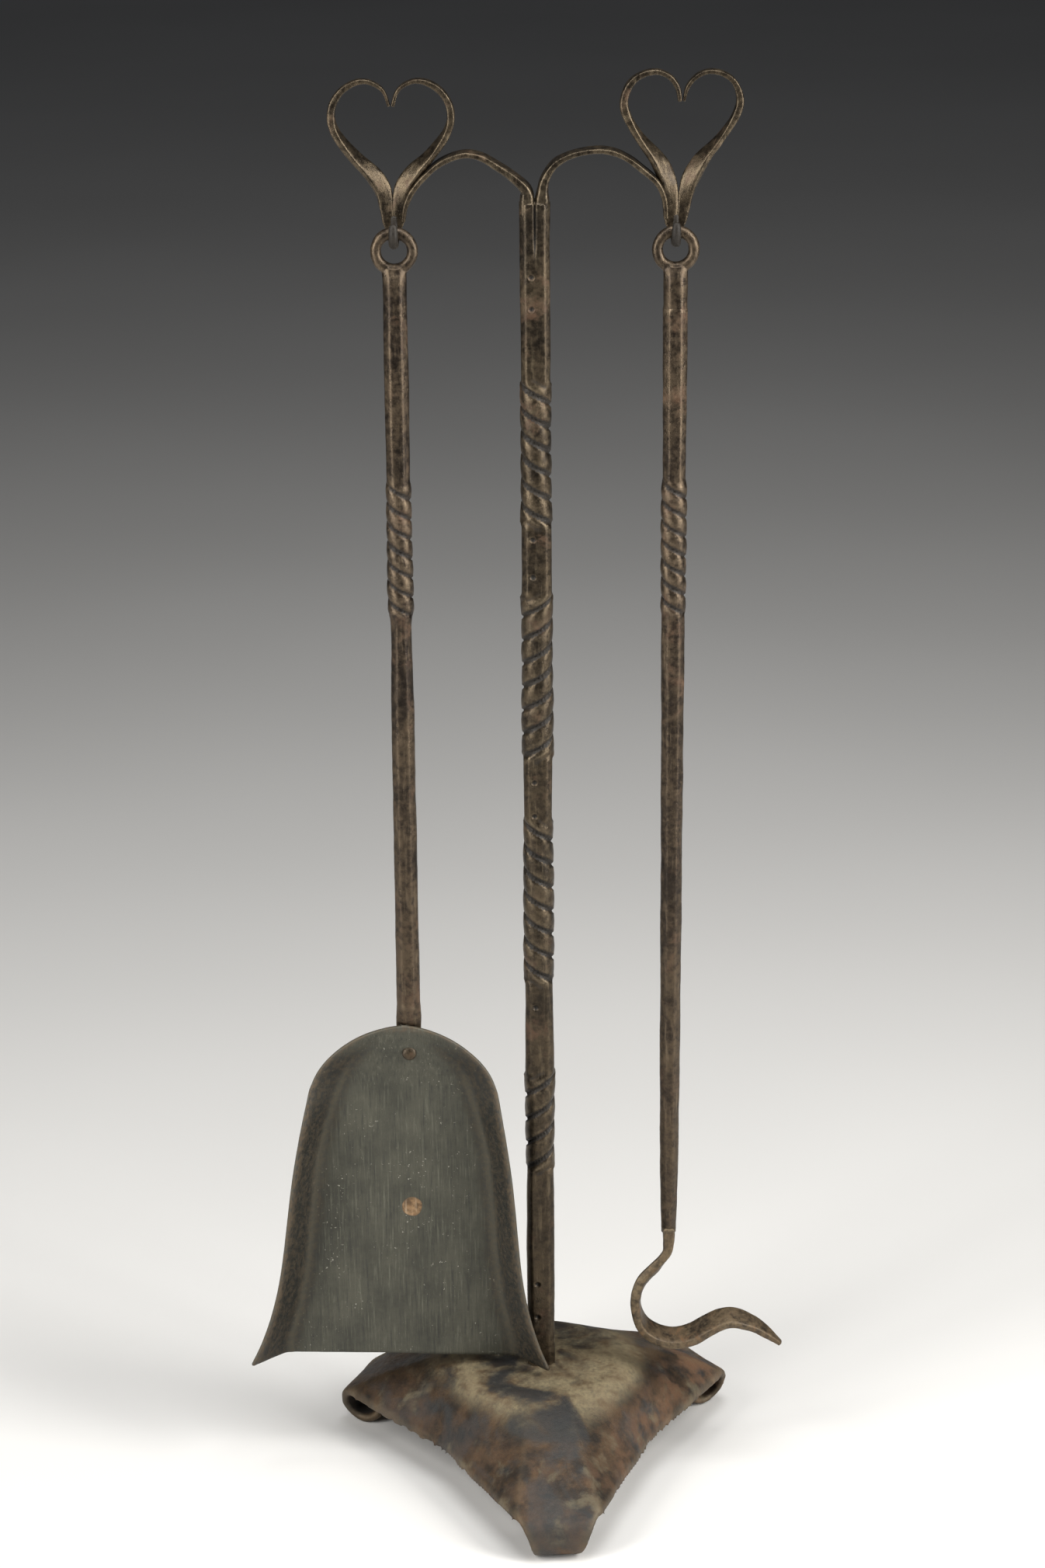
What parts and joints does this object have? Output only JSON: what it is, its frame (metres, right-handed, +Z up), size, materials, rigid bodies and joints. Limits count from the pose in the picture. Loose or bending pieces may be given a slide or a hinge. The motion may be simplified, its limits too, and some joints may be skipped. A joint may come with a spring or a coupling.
{
  "type": "fireplace tool set",
  "caption": "Hand-forged iron fireplace stand with a twisted post, two hearts and hooks, holding a shovel and a clawed poker by their eyes.",
  "frame": {"origin": "on the floor, on the axis of the post", "axes": "+Z up along the post, +X to the poker's side, +Y to the back, away from the tools' faces"},
  "size_m": [0.3087, 0.2173, 0.8133],
  "materials": {
    "forged_iron": "dark forge scale with a waxed sheen and lighter worn ridges",
    "worn_iron": "handled iron, brown-grey with bright rubbed edges",
    "dusty_iron": "iron with tan ash dust and rust brown patches",
    "pan_iron": "sooty grey-green sheet with fine scratches and a rusty rim"
  },
  "bodies": {
    "stand": {"base_plate": "dusty_iron", "tenon_washer": "forged_iron", "post": "forged_iron", "arm_left": "forged_iron", "arm_right": "forged_iron", "heart_left_outer": "forged_iron", "heart_left_inner": "forged_iron", "heart_right_inner": "forged_iron", "heart_right_outer": "forged_iron", "hook_left": "forged_iron", "hook_right": "forged_iron"},
    "shovel": {"shovel_shaft": "worn_iron", "shovel_pan": "pan_iron", "shovel_heel_rivet": "worn_iron", "shovel_floor_rivet": "worn_iron"},
    "poker": {"poker_shaft": "worn_iron", "poker_claw": "worn_iron"}
  },
  "joints": [
    {"name": "shovel_swing", "type": "hinge", "parent": "stand", "child": "shovel", "pos_m": [-0.07401, -0.0069, 0.7203], "axis": [0, 1, 0], "range_deg": [-0.4, 45]},
    {"name": "poker_swing", "type": "hinge", "parent": "stand", "child": "poker", "pos_m": [0.07401, -0.0069, 0.7203], "axis": [0, 1, 0], "range_deg": [-45, 3.5]}
  ]
}
